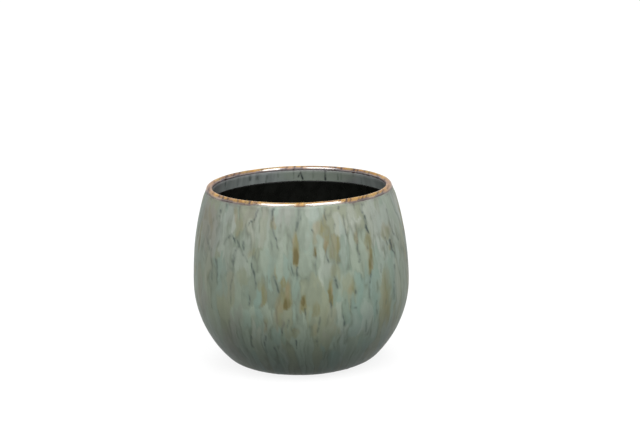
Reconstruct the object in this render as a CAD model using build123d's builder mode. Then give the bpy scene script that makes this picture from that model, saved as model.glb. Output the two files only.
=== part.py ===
"""Glazed stoneware cachepot: a round-bellied pot with no drain hole that hides a nursery pot.

The fired clay carries an iron base glaze, a reactive top glaze outside and in the mouth, and a black
lining, each a closed shell of even thickness, and the pot stands on felt pads stuck under its foot ring.
Millimetres, +Z up, origin on the surface that the pads stand on, on the pot's axis.
"""

import math
import os

from build123d import *

# Outside of the finished pot, measured over the glaze
POT_HEIGHT = 150.0
BELLY_DIAMETER = 180.0
BELLY_HEIGHT = 69.5
SHOULDER_RADIUS = 250.0
FOOT_DIAMETER = 100.0
FOOT_ROUNDING = 21.0

# Fired clay
WALL_THICKNESS = 4.0
FLOOR_THICKNESS = 6.0
FLOOR_ROUNDING = 14.0
FOOT_RING_STEP = 3.0
FOOT_RING_WIDTH = 12.0
FOOT_RECESS_DEPTH = 2.4
FOOT_RING_CHAMFER = 0.6

# Coats of glaze
BASE_GLAZE = 0.5
TOP_GLAZE = 0.6
COLLAR_GLAZE = 0.5
LINER_GLAZE = 0.6
LIP_BREAK_DEPTH = 4.0
COLLAR_BREAK_DEPTH = 3.6
COLLAR_DEPTH = 13.0

# Felt pads under the foot ring
PAD_COUNT = 4
PAD_DIAMETER = 10.0
PAD_THICKNESS = 1.5
PAD_EDGE_CHAMFER = 0.3

# Insets of each surface from the finished outside
CLAY_OUTSIDE = TOP_GLAZE + BASE_GLAZE
CLAY_INSIDE = CLAY_OUTSIDE + WALL_THICKNESS
LINER_INSIDE = CLAY_INSIDE + LINER_GLAZE
BASE_INSIDE = CLAY_INSIDE + BASE_GLAZE
COLLAR_INSIDE = BASE_INSIDE + COLLAR_GLAZE

# Heights
FOOT_PLANE = PAD_THICKNESS
CLAY_FLOOR = FOOT_PLANE + FLOOR_THICKNESS
LINER_FLOOR = CLAY_FLOOR + LINER_GLAZE

# Centres of the shoulder's arc and the foot's rounding, as radius and height
BELLY_RADIUS = BELLY_DIAMETER / 2
SHOULDER_CENTRE = (BELLY_RADIUS - SHOULDER_RADIUS, BELLY_HEIGHT)
FOOT_CENTRE = (FOOT_DIAMETER / 2, FOOT_PLANE + FOOT_ROUNDING)

# The flank's arc leaves the belly upright and runs smoothly into the foot's rounding
FOOT_REACH = BELLY_RADIUS - FOOT_CENTRE[0]
FOOT_DROP = BELLY_HEIGHT - FOOT_CENTRE[1]
FLANK_RADIUS = (FOOT_REACH**2 + FOOT_DROP**2 - FOOT_ROUNDING**2) / (2 * (FOOT_REACH - FOOT_ROUNDING))
FLANK_CENTRE = (BELLY_RADIUS - FLANK_RADIUS, BELLY_HEIGHT)

# The lip is a full round on the wall's top, so its centre is at the middle of the clay
LIP_RADIUS = WALL_THICKNESS / 2
LIP_ARM = SHOULDER_RADIUS - CLAY_OUTSIDE - LIP_RADIUS
LIP_ANGLE = math.degrees(
    math.asin((POT_HEIGHT - BASE_GLAZE - LIP_RADIUS - BELLY_HEIGHT) / LIP_ARM)
)

# The bare foot ring starts a step outside the flat, where the rounding has lifted off the foot's plane
FOOT_RING_OUTER = FOOT_CENTRE[0] + FOOT_RING_STEP
FOOT_RING_INNER = FOOT_RING_OUTER - FOOT_RING_WIDTH


def around(centre, radius, angle):
    """Point of an arc, at an angle in degrees above the horizontal."""
    turn = math.radians(angle)
    return (centre[0] + radius * math.cos(turn), centre[1] + radius * math.sin(turn))


def on_shoulder(inset, angle):
    """Point of the shoulder on the surface that lies inset from the finished outside."""
    return around(SHOULDER_CENTRE, SHOULDER_RADIUS - inset, angle)


def shoulder_angle(inset, depth):
    """Angle at which that surface is depth below the lip's crown."""
    rise = POT_HEIGHT - depth - BELLY_HEIGHT
    return math.degrees(math.asin(rise / (SHOULDER_RADIUS - inset)))


def floor_centre(inset, floor, radius):
    """Centre of the arc that joins the flank, inset from the finished outside, to a level floor."""
    arm = FLANK_RADIUS - inset - radius
    drop = FLANK_CENTRE[1] - floor - radius
    return (FLANK_CENTRE[0] + math.sqrt(arm**2 - drop**2), floor + radius)


def draw_arc(centre, radius, start, end):
    """Arc between two angles in degrees above the horizontal."""
    CenterArc(centre, radius, start, end - start)


def draw_side(inset, top_angle, centre, radius, bottom_angle):
    """One surface of the pot's side, from top_angle on the shoulder round to its bottom rounding."""
    flank_end = -math.degrees(math.atan2(FLANK_CENTRE[1] - centre[1], centre[0] - FLANK_CENTRE[0]))
    draw_arc(SHOULDER_CENTRE, SHOULDER_RADIUS - inset, top_angle, 0)
    draw_arc(FLANK_CENTRE, FLANK_RADIUS - inset, 0, flank_end)
    draw_arc(centre, radius, flank_end, bottom_angle)


def ring_angle(inset):
    """Angle at which an outer surface, rounding under the pot, meets the foot ring's wall."""
    reach = (FOOT_RING_OUTER - FOOT_CENTRE[0]) / (FOOT_ROUNDING - inset)
    return -math.degrees(math.acos(reach))


def draw_outside(inset, top_angle):
    """An outer surface, from top_angle on the shoulder down to the foot ring's wall."""
    draw_side(inset, top_angle, FOOT_CENTRE, FOOT_ROUNDING - inset, ring_angle(inset))


def ring_join(inset):
    """Point at which an outer surface meets the foot ring's wall."""
    return around(FOOT_CENTRE, FOOT_ROUNDING - inset, ring_angle(inset))


def draw_lip(radius):
    """Half round over the lip, from the outside of the wall to its inside."""
    draw_arc(around(SHOULDER_CENTRE, LIP_ARM, LIP_ANGLE), radius, LIP_ANGLE, LIP_ANGLE + 180)


# Fired clay: wall, lip, floor and the bare foot ring that the pot stands on
clay_floor_centre = floor_centre(CLAY_INSIDE, CLAY_FLOOR, FLOOR_ROUNDING)
with BuildPart() as stoneware_body:
    with BuildSketch(Plane.XZ):
        with BuildLine():
            draw_outside(CLAY_OUTSIDE, LIP_ANGLE)
            draw_lip(LIP_RADIUS)
            draw_side(CLAY_INSIDE, LIP_ANGLE, clay_floor_centre, FLOOR_ROUNDING, -90)
            Polyline(
                around(clay_floor_centre, FLOOR_ROUNDING, -90),
                (0, CLAY_FLOOR),
                (0, FOOT_PLANE + FOOT_RECESS_DEPTH),
                (FOOT_RING_INNER, FOOT_PLANE + FOOT_RECESS_DEPTH),
                (FOOT_RING_INNER, FOOT_PLANE),
                (FOOT_RING_OUTER, FOOT_PLANE),
                ring_join(CLAY_OUTSIDE),
            )
        make_face()
    revolve(axis=Axis.Z)
    foot_edges = edges().filter_by(GeomType.CIRCLE).group_by(Axis.Z)[0]
    chamfer(foot_edges, FOOT_RING_CHAMFER)

# Iron base glaze: covers the outside, the lip and the top of the inside, and shows bare on the lip
collar_angle = shoulder_angle(BASE_INSIDE, COLLAR_DEPTH)
with BuildPart() as base_glaze:
    with BuildSketch(Plane.XZ):
        with BuildLine():
            draw_outside(TOP_GLAZE, LIP_ANGLE)
            draw_lip(LIP_RADIUS + BASE_GLAZE)
            draw_arc(SHOULDER_CENTRE, SHOULDER_RADIUS - BASE_INSIDE, LIP_ANGLE, collar_angle)
            Line(on_shoulder(BASE_INSIDE, collar_angle), on_shoulder(CLAY_INSIDE, collar_angle))
            draw_arc(SHOULDER_CENTRE, SHOULDER_RADIUS - CLAY_INSIDE, collar_angle, LIP_ANGLE)
            draw_lip(LIP_RADIUS)
            draw_outside(CLAY_OUTSIDE, LIP_ANGLE)
            Line(ring_join(CLAY_OUTSIDE), ring_join(TOP_GLAZE))
        make_face()
    revolve(axis=Axis.Z)

# Reactive top glaze on the outside, from just under the lip to the foot ring
lip_break_angle = shoulder_angle(0, LIP_BREAK_DEPTH)
with BuildPart() as outer_top_glaze:
    with BuildSketch(Plane.XZ):
        with BuildLine():
            draw_outside(0, lip_break_angle)
            Line(on_shoulder(0, lip_break_angle), on_shoulder(TOP_GLAZE, lip_break_angle))
            draw_outside(TOP_GLAZE, lip_break_angle)
            Line(ring_join(TOP_GLAZE), ring_join(0))
        make_face()
    revolve(axis=Axis.Z)

# The same glaze inside the mouth, from under the lip to the straight edge of the lining
collar_break_angle = shoulder_angle(COLLAR_INSIDE, COLLAR_BREAK_DEPTH)
with BuildPart() as collar_top_glaze:
    with BuildSketch(Plane.XZ):
        with BuildLine():
            draw_arc(SHOULDER_CENTRE, SHOULDER_RADIUS - COLLAR_INSIDE, collar_break_angle, collar_angle)
            Line(on_shoulder(COLLAR_INSIDE, collar_angle), on_shoulder(BASE_INSIDE, collar_angle))
            draw_arc(SHOULDER_CENTRE, SHOULDER_RADIUS - BASE_INSIDE, collar_angle, collar_break_angle)
            Line(on_shoulder(BASE_INSIDE, collar_break_angle), on_shoulder(COLLAR_INSIDE, collar_break_angle))
        make_face()
    revolve(axis=Axis.Z)

# Black lining glaze: makes the inside watertight, from the collar down the wall and over the floor
liner_rounding = FLOOR_ROUNDING - LINER_GLAZE
with BuildPart() as liner_glaze:
    with BuildSketch(Plane.XZ):
        with BuildLine():
            draw_side(LINER_INSIDE, collar_angle, clay_floor_centre, liner_rounding, -90)
            Polyline(
                around(clay_floor_centre, liner_rounding, -90),
                (0, LINER_FLOOR),
                (0, CLAY_FLOOR),
                around(clay_floor_centre, FLOOR_ROUNDING, -90),
            )
            draw_side(CLAY_INSIDE, collar_angle, clay_floor_centre, FLOOR_ROUNDING, -90)
            Line(on_shoulder(CLAY_INSIDE, collar_angle), on_shoulder(LINER_INSIDE, collar_angle))
        make_face()
    revolve(axis=Axis.Z)

pieces = {
    "stoneware_body": stoneware_body.part,
    "base_glaze": base_glaze.part,
    "outer_top_glaze": outer_top_glaze.part,
    "collar_top_glaze": collar_top_glaze.part,
    "liner_glaze": liner_glaze.part,
}

# Felt pads, spaced evenly round the middle of the foot ring
pad_circle = FOOT_RING_OUTER - FOOT_RING_WIDTH / 2
pad_places = PolarLocations(pad_circle, PAD_COUNT, start_angle=180 / PAD_COUNT).local_locations
for number, place in enumerate(pad_places, start=1):
    with BuildPart() as felt_pad:
        with BuildSketch(Plane.XY):
            with Locations(place.position):
                Circle(PAD_DIAMETER / 2)
        extrude(amount=PAD_THICKNESS)
        chamfer(edges().group_by(Axis.Z)[0], PAD_EDGE_CHAMFER)
    pieces[f"felt_pad_{number}"] = felt_pad.part

os.makedirs("parts", exist_ok=True)
for name, piece in pieces.items():
    piece.label = name
    export_step(piece, f"parts/{name}.step")
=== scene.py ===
import math

import bpy
import numpy as np
from mathutils import Matrix, Vector


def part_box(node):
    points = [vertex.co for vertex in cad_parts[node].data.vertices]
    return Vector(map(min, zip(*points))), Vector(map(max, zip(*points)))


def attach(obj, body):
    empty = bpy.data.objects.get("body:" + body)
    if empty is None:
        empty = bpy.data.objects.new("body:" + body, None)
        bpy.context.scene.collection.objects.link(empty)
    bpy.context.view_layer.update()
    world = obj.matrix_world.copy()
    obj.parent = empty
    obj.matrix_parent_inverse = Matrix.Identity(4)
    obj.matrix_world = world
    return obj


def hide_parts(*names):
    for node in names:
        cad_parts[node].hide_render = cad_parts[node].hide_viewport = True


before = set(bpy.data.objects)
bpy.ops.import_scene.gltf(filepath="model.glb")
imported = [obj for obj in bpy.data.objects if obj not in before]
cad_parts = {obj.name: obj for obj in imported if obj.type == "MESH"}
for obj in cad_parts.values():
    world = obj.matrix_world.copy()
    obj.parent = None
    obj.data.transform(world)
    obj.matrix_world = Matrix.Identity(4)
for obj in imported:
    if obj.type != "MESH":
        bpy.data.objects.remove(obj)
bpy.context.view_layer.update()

scene = bpy.context.scene
scene.view_settings.view_transform = "Standard"

# All sizes below are millimetres, and meshes are scaled to metres as they are made
METRES = 0.001

# Finished outside of the pot, as in the frame
POT_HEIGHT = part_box("base_glaze")[1].z / METRES
BELLY_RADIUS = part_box("outer_top_glaze")[1].x / METRES
FOOT_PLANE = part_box("stoneware_body")[0].z / METRES
CLAY_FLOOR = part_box("liner_glaze")[0].z / METRES
BELLY_HEIGHT = 69.5
SHOULDER_RADIUS = 250.0
FOOT_FLAT_RADIUS = 50.0
FOOT_ROUNDING = 21.0
FOOT_RING_OUTER = 53.0
FLOOR_ROUNDING = 14.0

# Coats, with each surface's inset from the finished outside
TOP_GLAZE = 0.6
BASE_GLAZE = 0.5
WALL_THICKNESS = 4.0
COLLAR_GLAZE = 0.5
LINER_GLAZE = 0.6
CLAY_OUTSIDE = TOP_GLAZE + BASE_GLAZE
CLAY_INSIDE = CLAY_OUTSIDE + WALL_THICKNESS
BASE_INSIDE = CLAY_INSIDE + BASE_GLAZE
COLLAR_INSIDE = BASE_INSIDE + COLLAR_GLAZE
LINER_INSIDE = CLAY_INSIDE + LINER_GLAZE
LIP_BREAK_DEPTH = 4.0
COLLAR_BREAK_DEPTH = 3.6
COLLAR_DEPTH = 13.0

# Arcs of the profile, as radius and height of their centres
SHOULDER_CENTRE = (BELLY_RADIUS - SHOULDER_RADIUS, BELLY_HEIGHT)
FOOT_CENTRE = (FOOT_FLAT_RADIUS, FOOT_PLANE + FOOT_ROUNDING)
FOOT_REACH = BELLY_RADIUS - FOOT_CENTRE[0]
FOOT_DROP = BELLY_HEIGHT - FOOT_CENTRE[1]
FLANK_RADIUS = (FOOT_REACH**2 + FOOT_DROP**2 - FOOT_ROUNDING**2) / (2 * (FOOT_REACH - FOOT_ROUNDING))
FLANK_CENTRE = (BELLY_RADIUS - FLANK_RADIUS, BELLY_HEIGHT)
FLANK_END = -math.degrees(math.atan2(FOOT_DROP, FOOT_CENTRE[0] - FLANK_CENTRE[0]))
LIP_RADIUS = WALL_THICKNESS / 2
LIP_ARM = SHOULDER_RADIUS - CLAY_OUTSIDE - LIP_RADIUS
LIP_ANGLE = math.degrees(math.asin((POT_HEIGHT - BASE_GLAZE - LIP_RADIUS - BELLY_HEIGHT) / LIP_ARM))
LIP_CENTRE = (
    SHOULDER_CENTRE[0] + LIP_ARM * math.cos(math.radians(LIP_ANGLE)),
    SHOULDER_CENTRE[1] + LIP_ARM * math.sin(math.radians(LIP_ANGLE)),
)

# Camera fitted to the photograph, which is 640 by 427 pixels
PHOTO_WIDTH = 640
PHOTO_HEIGHT = 427
CAMERA_PLACE = np.array((0.0, -1304.7, 421.76))
CAMERA_TARGET = np.array((16.836, 0.0, 123.955))
CAMERA_ROLL = -1.288
LENS = 90.59
SENSOR = 36.0


# Camera and photograph pixels

def camera_axes():
    """Right, up and forward directions of the camera."""
    forward = CAMERA_TARGET - CAMERA_PLACE
    forward /= np.linalg.norm(forward)
    right = np.cross(forward, (0.0, 0.0, 1.0))
    right /= np.linalg.norm(right)
    up = np.cross(right, forward)
    roll = math.radians(CAMERA_ROLL)
    return (
        right * math.cos(roll) + up * math.sin(roll),
        up * math.cos(roll) - right * math.sin(roll),
        forward,
    )


def photo_pixels(points):
    """Where points of the pot, in millimetres, fall in the photograph."""
    right, up, forward = camera_axes()
    seen = points - CAMERA_PLACE
    focal = LENS / SENSOR * PHOTO_WIDTH
    depth = seen @ forward
    across = PHOTO_WIDTH / 2 + focal * (seen @ right) / depth
    down = PHOTO_HEIGHT / 2 - focal * (seen @ up) / depth
    return across, down


def add_camera():
    right, up, forward = camera_axes()
    camera = bpy.data.objects.new("camera", bpy.data.cameras.new("camera"))
    camera.data.sensor_fit = "HORIZONTAL"
    camera.data.sensor_width = SENSOR
    camera.data.lens = LENS
    axes = Matrix((right, up, -forward)).transposed()
    camera.matrix_world = Matrix.Translation(Vector(CAMERA_PLACE * METRES)) @ axes.to_4x4()
    scene.collection.objects.link(camera)
    scene.camera = camera


# Profiles: rows of radius, height, and the outward normal's two parts

def arc_rows(centre, radius, start, end, spacing, whole=False):
    """Rows along an arc between two angles above the horizontal, with the last one left out unless whole."""
    count = max(2, round(abs(math.radians(end - start)) * radius / spacing))
    turn = np.radians(np.linspace(start, end, count + whole, endpoint=whole))
    across, rise = np.cos(turn), np.sin(turn)
    return np.stack((centre[0] + radius * across, centre[1] + radius * rise, across, rise), axis=1)


def shoulder_angle(inset, depth):
    """Angle at which the surface that lies inset from the outside is depth below the crown."""
    return math.degrees(math.asin((POT_HEIGHT - depth - BELLY_HEIGHT) / (SHOULDER_RADIUS - inset)))


def outside_rows(inset, top_angle, spacing):
    """Rows of an outer surface, from the shoulder down to the foot ring's wall."""
    rounding = FOOT_ROUNDING - inset
    ring = -math.degrees(math.acos((FOOT_RING_OUTER - FOOT_CENTRE[0]) / rounding))
    return np.concatenate((
        arc_rows(SHOULDER_CENTRE, SHOULDER_RADIUS - inset, top_angle, 0, spacing),
        arc_rows(FLANK_CENTRE, FLANK_RADIUS - inset, 0, FLANK_END, spacing),
        arc_rows(FOOT_CENTRE, rounding, FLANK_END, ring, spacing, whole=True),
    ))


def inside_rows(inset, top_angle, rounding, spacing):
    """Rows of an inner surface, from the collar down the wall and in to the middle of the floor."""
    arm = FLANK_RADIUS - CLAY_INSIDE - FLOOR_ROUNDING
    drop = FLANK_CENTRE[1] - CLAY_FLOOR - FLOOR_ROUNDING
    centre = (FLANK_CENTRE[0] + math.sqrt(arm**2 - drop**2), CLAY_FLOOR + FLOOR_ROUNDING)
    flank_end = -math.degrees(math.atan2(drop, centre[0] - FLANK_CENTRE[0]))
    floor = centre[1] - rounding
    radii = np.linspace(centre[0], 0, max(3, round(centre[0] / spacing)), endpoint=False)
    flat = np.stack((radii, np.full_like(radii, floor), radii * 0, radii * 0 - 1), axis=1)
    return np.concatenate((
        arc_rows(SHOULDER_CENTRE, SHOULDER_RADIUS - inset, top_angle, 0, spacing),
        arc_rows(FLANK_CENTRE, FLANK_RADIUS - inset, 0, flank_end, spacing),
        arc_rows(centre, rounding, flank_end, -90, spacing),
        flat,
    ))


# Meshes turned from rows

def azimuths(columns):
    """Angles of the columns, from the photograph's side of the pot and turning to its right."""
    return np.linspace(0, 2 * math.pi, columns, endpoint=False)


def turned(radius, height, angle):
    """Points at a radius and height, at angles from the photograph's side."""
    return np.stack((radius * np.sin(angle), -radius * np.cos(angle), height), axis=-1)


def wrap_mesh(name, points, row_share):
    """Closed mesh of a grid whose last row joins its first, with a bake map laid out flat.

    Each row takes its share of the map's height.
    """
    rows, columns = points.shape[:2]
    index = np.arange(rows * columns).reshape(rows, columns)
    below = np.concatenate((index, index[:1]))
    around = np.concatenate((below, below[:, :1]), axis=1)
    quads = np.stack((around[:-1, :-1], around[1:, :-1], around[1:, 1:], around[:-1, 1:]), axis=-1)
    across = np.linspace(0, 1, columns + 1)
    down = 1 - np.concatenate(((0.0,), np.cumsum(row_share))) / np.sum(row_share)
    u = np.broadcast_to(across, (len(down), columns + 1))
    v = np.broadcast_to(down[:, None], (len(down), columns + 1))
    flat = np.stack((u, v), axis=-1)
    corners = np.stack((flat[:-1, :-1], flat[1:, :-1], flat[1:, 1:], flat[:-1, 1:]), axis=2)
    mesh = bpy.data.meshes.new(name)
    vertices = points.reshape(-1, 3) * METRES
    mesh.from_pydata(vertices.tolist(), [], quads.reshape(-1, 4).tolist())
    layer = mesh.uv_layers.new(name="OFBake")
    layer.data.foreach_set("uv", corners.reshape(-1).astype(np.float32))
    mesh.polygons.foreach_set("use_smooth", np.ones(len(mesh.polygons), dtype=bool))
    mesh.update()
    return mesh


def paint(mesh, colours, gloss):
    """Stores a colour for each vertex, in linear light, and how glossy it is from 0 to 1."""
    layer = mesh.attributes.new("glaze", "FLOAT_COLOR", "POINT")
    full = np.empty((len(mesh.vertices), 4), dtype=np.float32)
    full[:, :3] = colours.reshape(-1, 3)
    full[:, 3] = np.broadcast_to(gloss, colours.shape[:-1]).reshape(-1)
    layer.data.foreach_set("color", full.reshape(-1))


def add_piece(name, mesh, material, nodes):
    """Puts a piece into the scene, on the pot's one body, in the place of its nodes."""
    piece = bpy.data.objects.new(name, mesh)
    scene.collection.objects.link(piece)
    mesh.materials.append(material)
    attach(piece, "root")
    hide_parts(*nodes)
    return piece


# Seeded noise that closes round the pot

def smooth(values):
    values = np.clip(values, 0, 1)
    return values * values * (3 - 2 * values)


def runny_noise(seed, angle, height, width, length):
    """Smooth noise from 0 to 1, in cells of a width round the belly and a length down the wall."""
    rng = np.random.default_rng(seed)
    columns = max(3, round(2 * math.pi * BELLY_RADIUS / width))
    lattice = rng.random((int(2 * POT_HEIGHT / length) + 4, columns))
    across = (angle / (2 * math.pi) % 1.0) * columns
    down = (height + POT_HEIGHT / 2) / length
    left, top = np.floor(across).astype(int), np.floor(down).astype(int)
    s, t = smooth(across - left), smooth(down - top)
    left, right = left % columns, (left + 1) % columns
    upper = lattice[top, left] * (1 - s) + lattice[top, right] * s
    lower = lattice[top + 1, left] * (1 - s) + lattice[top + 1, right] * s
    return upper * (1 - t) + lower * t


def layered_noise(seed, angle, height, width, length, octaves=3):
    """Runny noise with finer layers added, spread to fill 0 to 1."""
    total, share, scale = 0.0, 0.0, 1.0
    for octave in range(octaves):
        layer = runny_noise(seed + octave, angle, height, width * scale, length * scale)
        total = total + layer * scale
        share += scale
        scale *= 0.55
    return smooth(0.5 + (total / share - 0.5) * 1.9)


def run_cells(seed, angle, height, width, length, crispness):
    """Runs of glaze side by side, as a soft cell pattern.

    Gives a lightness and a tint for each run, how near its border is, and the way round and up to its middle.
    """
    rng = np.random.default_rng(seed)
    columns = round(2 * math.pi * BELLY_RADIUS / width)
    rows = int(2 * POT_HEIGHT / length) + 4
    jitter = rng.uniform(0.1, 0.9, (rows, columns, 2))
    values = rng.random((rows, columns, 2))
    across = (angle / (2 * math.pi) % 1.0) * columns
    down = (height + POT_HEIGHT / 2) / length
    column, row = np.floor(across).astype(int), np.floor(down).astype(int)
    total, weight = np.zeros((*across.shape, 4)), np.zeros_like(across)
    nearest, second = np.full_like(across, 9.0), np.full_like(across, 9.0)
    for step in (-1, 0, 1):
        for side in (-1, 0, 1):
            r, c = np.clip(row + step, 0, rows - 1), (column + side) % columns
            aside, above = column + side + jitter[r, c, 0] - across, row + step + jitter[r, c, 1] - down
            gap = np.hypot(aside, above)
            pull = np.exp(-crispness * gap * gap)
            facts = np.stack((*np.moveaxis(values[r, c], -1, 0), aside * width, above * length), axis=-1)
            total, weight = total + pull[..., None] * facts, weight + pull
            second = np.minimum(second, np.maximum(nearest, gap))
            nearest = np.minimum(nearest, gap)
    lightness, tint, aside, above = np.moveaxis(total / weight[..., None], -1, 0)
    return lightness, tint, second - nearest, aside, above


def mix(first, second, amount):
    return first + (second - first) * np.clip(amount, 0, 1)[..., None]


# Marks in the glaze, noted in the photograph's pixels and adjusted against it
# Ochre runs: x, top, bottom, width, strength
OCHRE_RUNS = (
    (235.5, 207, 224, 3.5, 0.45), (238.5, 220, 237, 9, 0.3), (273.2, 214, 232, 4.5, 0.45),
    (295.5, 231, 268, 6.5, 0.75), (276, 263, 281, 3, 0.5), (284, 279, 292, 10, 0.5),
    (251.5, 249, 257, 8, 0.3), (211.3, 207, 228, 3.5, 0.3), (218, 246, 262, 4, 0.25),
    (242, 266, 285, 12, 0.2), (260, 279, 291, 8, 0.3), (324.9, 210, 224, 4, 0.45),
    (318.5, 221, 232, 14, 0.45), (325, 225, 236, 10, 0.4), (326.2, 232, 252, 4.5, 0.7),
    (331.9, 231, 259, 7, 0.35), (337.2, 235, 255, 5, 0.6), (338, 252, 264, 4.5, 0.45),
    (314.3, 233, 247, 4.5, 0.35), (356.4, 231, 243, 4, 0.5), (368.3, 231, 253, 7, 0.5),
    (370.3, 247, 272, 6, 0.65), (385.8, 220, 240, 9, 0.35), (390.8, 239, 248, 3.5, 0.5),
    (330.3, 279, 301, 4.8, 0.8), (387, 268, 323, 8, 0.48), (381.8, 309, 324, 7, 0.2),
    (353, 279, 292, 8, 0.3), (333, 263, 278, 6.5, 0.25), (286.8, 285, 311, 8, 0.65),
    (279.6, 289, 313, 8.5, 0.45), (263, 287, 306, 5.5, 0.5), (265.6, 315, 333, 4, 0.4),
    (278, 311, 328, 10, 0.3), (295.5, 328, 338, 7, 0.35), (304.6, 294, 313, 5.5, 0.6),
    (315, 303, 315, 8, 0.35), (314.6, 323, 336, 8, 0.3), (352.5, 287, 295, 7, 0.35),
    (328.5, 305, 327, 13, 0.12), (301.3, 299, 313, 4, 0.45), (337, 325, 337, 10, 0.25),
)
# Brown cores: the same
BROWN_CORES = (
    (295.5, 246, 265, 4.8, 0.8), (326.2, 240, 251, 3, 0.6), (315.1, 246, 257, 3, 0.6),
    (370.3, 253, 267, 4, 0.45), (206, 206, 220, 4, 0.45), (286.6, 294, 310, 5.5, 0.7),
    (304.1, 295, 306, 4, 0.75), (330.2, 287, 300, 3.4, 0.4),
)
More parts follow.
